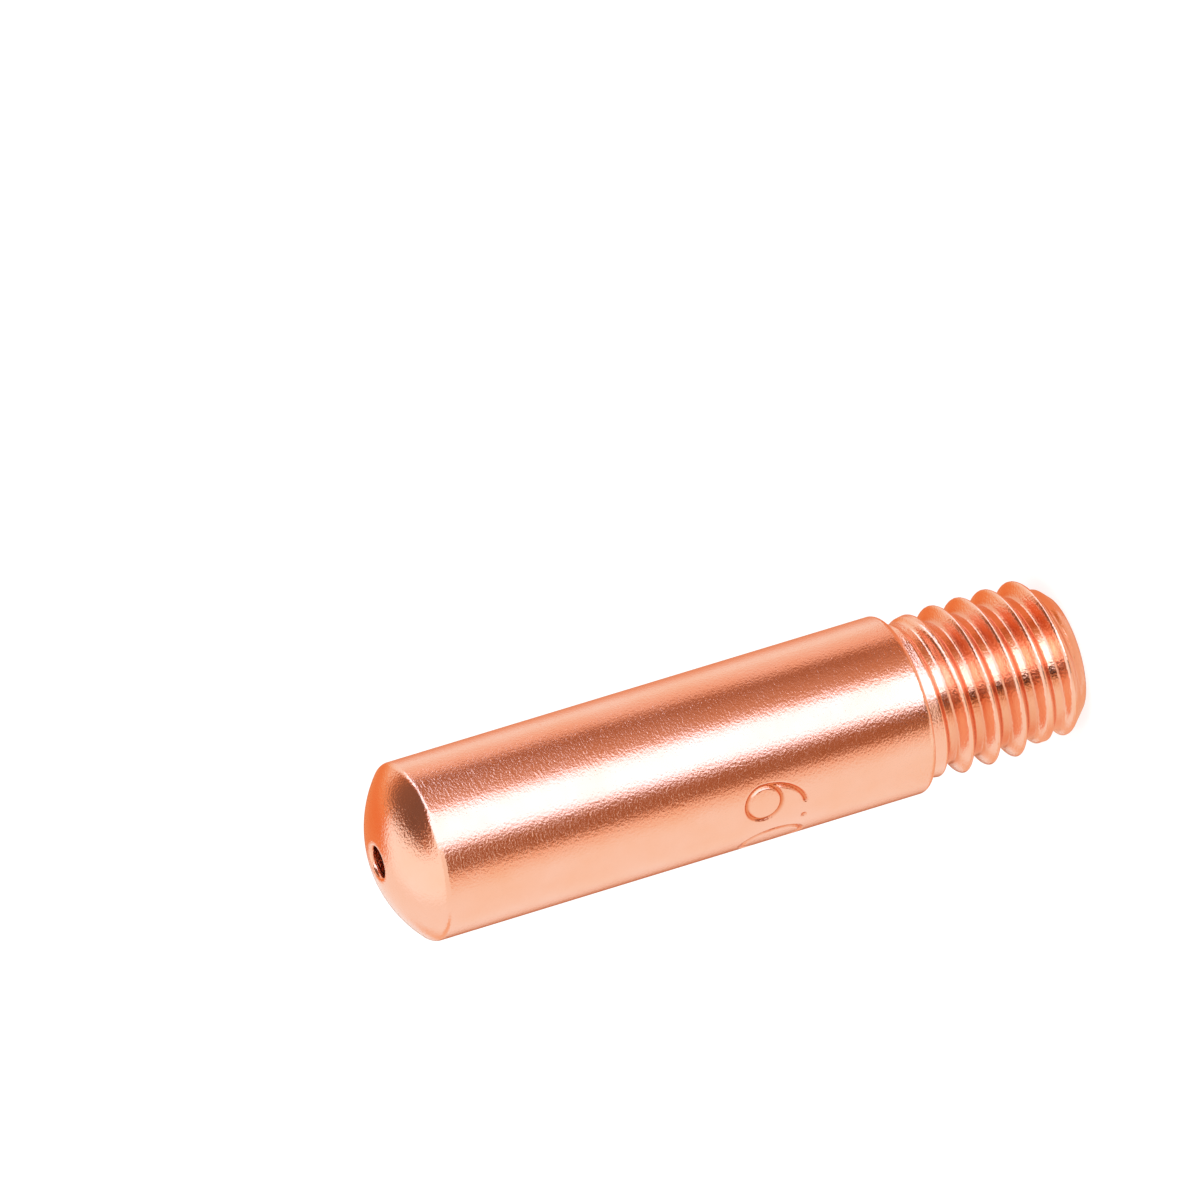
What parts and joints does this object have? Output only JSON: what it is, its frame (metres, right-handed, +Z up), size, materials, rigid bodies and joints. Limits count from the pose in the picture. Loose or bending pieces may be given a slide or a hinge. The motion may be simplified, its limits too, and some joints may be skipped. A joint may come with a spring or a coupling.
{
  "type": "welding contact tip",
  "caption": "Round copper contact tip for wire-feed welding: a rod with a domed nose, a screw thread at the other end and a wire bore along its axis.",
  "frame": {"origin": "centre of the flat threaded end, on the tip's axis, which is the bottom centre of its box", "axes": "+Z up along the tip's axis, from the threaded end to the nose; X and Y are across the rod"},
  "size_m": [0.0064, 0.0064, 0.0256],
  "materials": {
    "copper": "satin turned copper"
  },
  "bodies": {
    "root": {"contact_tip": "copper"}
  },
  "joints": []
}
